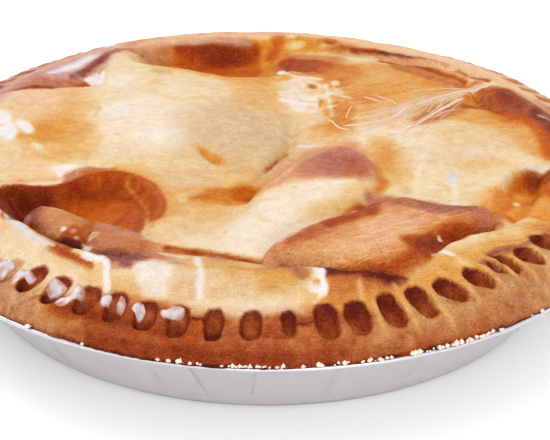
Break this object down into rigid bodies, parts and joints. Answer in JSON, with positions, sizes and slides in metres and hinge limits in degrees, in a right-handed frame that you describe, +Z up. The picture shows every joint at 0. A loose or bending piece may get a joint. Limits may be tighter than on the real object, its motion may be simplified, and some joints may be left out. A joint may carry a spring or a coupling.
{
  "type": "buko pie in a foil tin",
  "caption": "Round coconut pie with a crumpled browned top crust and a crimped rim, baked in a shallow pleated foil tin that rests flat.",
  "frame": {"origin": "centre of the tin's flat base, on the surface it rests on", "axes": "+Z up out of the tin, -Y towards the side that the picture shows, +X to the right in the picture"},
  "size_m": [0.2298, 0.2296, 0.0463],
  "materials": {
    "foil": "pressed foil, bright satin, with creased pleats",
    "crust": "baked shortcrust, egg-washed, cream to dark brown"
  },
  "bodies": {
    "root": {"foil_tin": "foil", "pie": "crust"}
  },
  "joints": []
}
